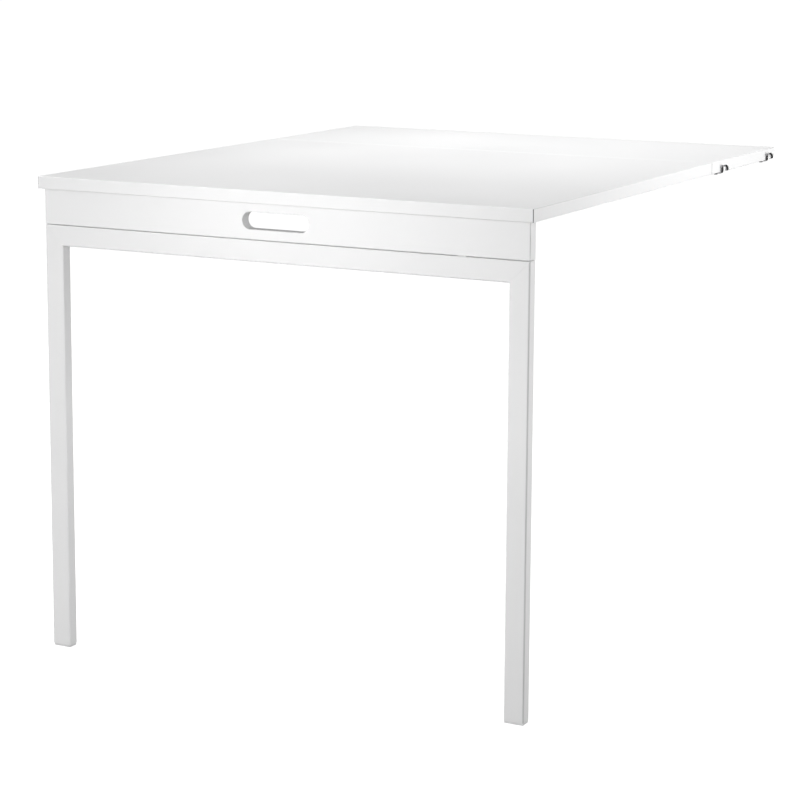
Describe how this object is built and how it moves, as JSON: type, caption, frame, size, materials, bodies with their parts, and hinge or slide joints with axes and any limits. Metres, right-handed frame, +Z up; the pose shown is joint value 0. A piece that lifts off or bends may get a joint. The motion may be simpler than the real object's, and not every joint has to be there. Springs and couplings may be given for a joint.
{
  "type": "gateleg table",
  "caption": "Wall-hung drop-leaf table: a hooked shelf, a hinged leaf with an apron and hand slot, and a folding leg frame of white rectangular tube.",
  "frame": {"origin": "on the floor, below the middle of the open table's outline (shelf and leaf together)", "axes": "+X along the table's width, +Y from the leaf's front edge back to the shelf, +Z up"},
  "size_m": [0.8008, 0.96, 0.7],
  "materials": {
    "white_board": "white satin lacquer on board",
    "white_steel": "white powder coat",
    "polished_steel": "polished",
    "hinge_steel": "nickel plated",
    "white_plastic": "matt moulded",
    "magnet_steel": "ground",
    "dowel_wood": "raw beech"
  },
  "bodies": {
    "shelf": {"shelf_board": "white_board", "hook_left_front": "polished_steel", "hook_left_rear": "polished_steel", "hook_right_front": "polished_steel", "hook_right_rear": "polished_steel", "hook_screws": "polished_steel", "leaf_hinge_left_shelf_plate": "hinge_steel", "leaf_hinge_middle_shelf_plate": "hinge_steel", "leaf_hinge_right_shelf_plate": "hinge_steel", "leaf_hinge_left_pin": "hinge_steel", "leaf_hinge_middle_pin": "hinge_steel", "leaf_hinge_right_pin": "hinge_steel", "shelf_hinge_screws": "hinge_steel"},
    "leaf": {"leaf_board": "white_board", "apron": "white_board", "apron_dowels": "dowel_wood", "leaf_hinge_left_leaf_plate": "hinge_steel", "leaf_hinge_middle_leaf_plate": "hinge_steel", "leaf_hinge_right_leaf_plate": "hinge_steel", "leaf_hinge_screws": "hinge_steel", "apron_block_left": "white_board", "apron_block_right": "white_board", "block_screws": "hinge_steel", "catch_housing_left": "white_plastic", "catch_housing_right": "white_plastic", "catch_magnets": "magnet_steel", "catch_screws": "hinge_steel", "leg_hinge_left_apron_plate": "hinge_steel", "leg_hinge_right_apron_plate": "hinge_steel", "leg_hinge_left_pin": "hinge_steel", "leg_hinge_right_pin": "hinge_steel", "leg_hinge_apron_screws": "hinge_steel"},
    "leg_frame": {"top_rail": "white_steel", "leg_left": "white_steel", "leg_right": "white_steel", "foot_cap_left": "white_plastic", "foot_cap_right": "white_plastic", "leg_hinge_left_frame_plate": "hinge_steel", "leg_hinge_right_frame_plate": "hinge_steel", "leg_hinge_frame_screws": "hinge_steel", "gap_bumper": "white_plastic"}
  },
  "joints": [
    {"name": "leaf_fold", "type": "hinge", "parent": "shelf", "child": "leaf", "pos_m": [0, 0.1855, 0.6777], "axis": [1, 0, 0], "range_deg": [0, 90]},
    {"name": "leg_fold", "type": "hinge", "parent": "leaf", "child": "leg_frame", "pos_m": [0, -0.4507, 0.631], "axis": [1, 0, 0], "range_deg": [0, 90]}
  ]
}
